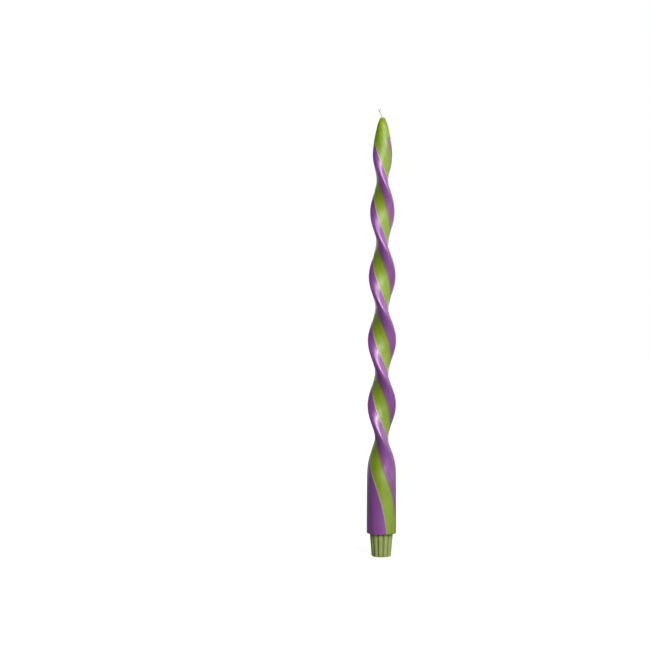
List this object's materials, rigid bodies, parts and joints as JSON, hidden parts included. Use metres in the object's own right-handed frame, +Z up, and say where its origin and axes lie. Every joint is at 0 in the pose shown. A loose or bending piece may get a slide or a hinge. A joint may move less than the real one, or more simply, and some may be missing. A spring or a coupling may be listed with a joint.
{
  "type": "spiral candle",
  "caption": "Tall dinner candle with a fluted foot, a round base and a flattened shaft twisted into a spiral, green wax with purple bands, and a wick at the tip.",
  "frame": {"origin": "middle of the foot's flat end, on the axis of the wick", "axes": "+Z up along the wick, from the foot to the tip; -Y is the front that the picture shows, +X its right"},
  "size_m": [0.022, 0.022, 0.3359],
  "materials": {
    "cotton_wick": "braided cotton, waxed",
    "core_wax": "bare pale green wax, matte",
    "green_wax": "dipped green wax, satin gloss",
    "purple_wax": "dipped purple wax, satin gloss"
  },
  "bodies": {
    "root": {"wick": "cotton_wick", "core": "core_wax", "green_coat": "green_wax", "purple_band_a": "purple_wax", "purple_band_b": "purple_wax"}
  },
  "joints": []
}
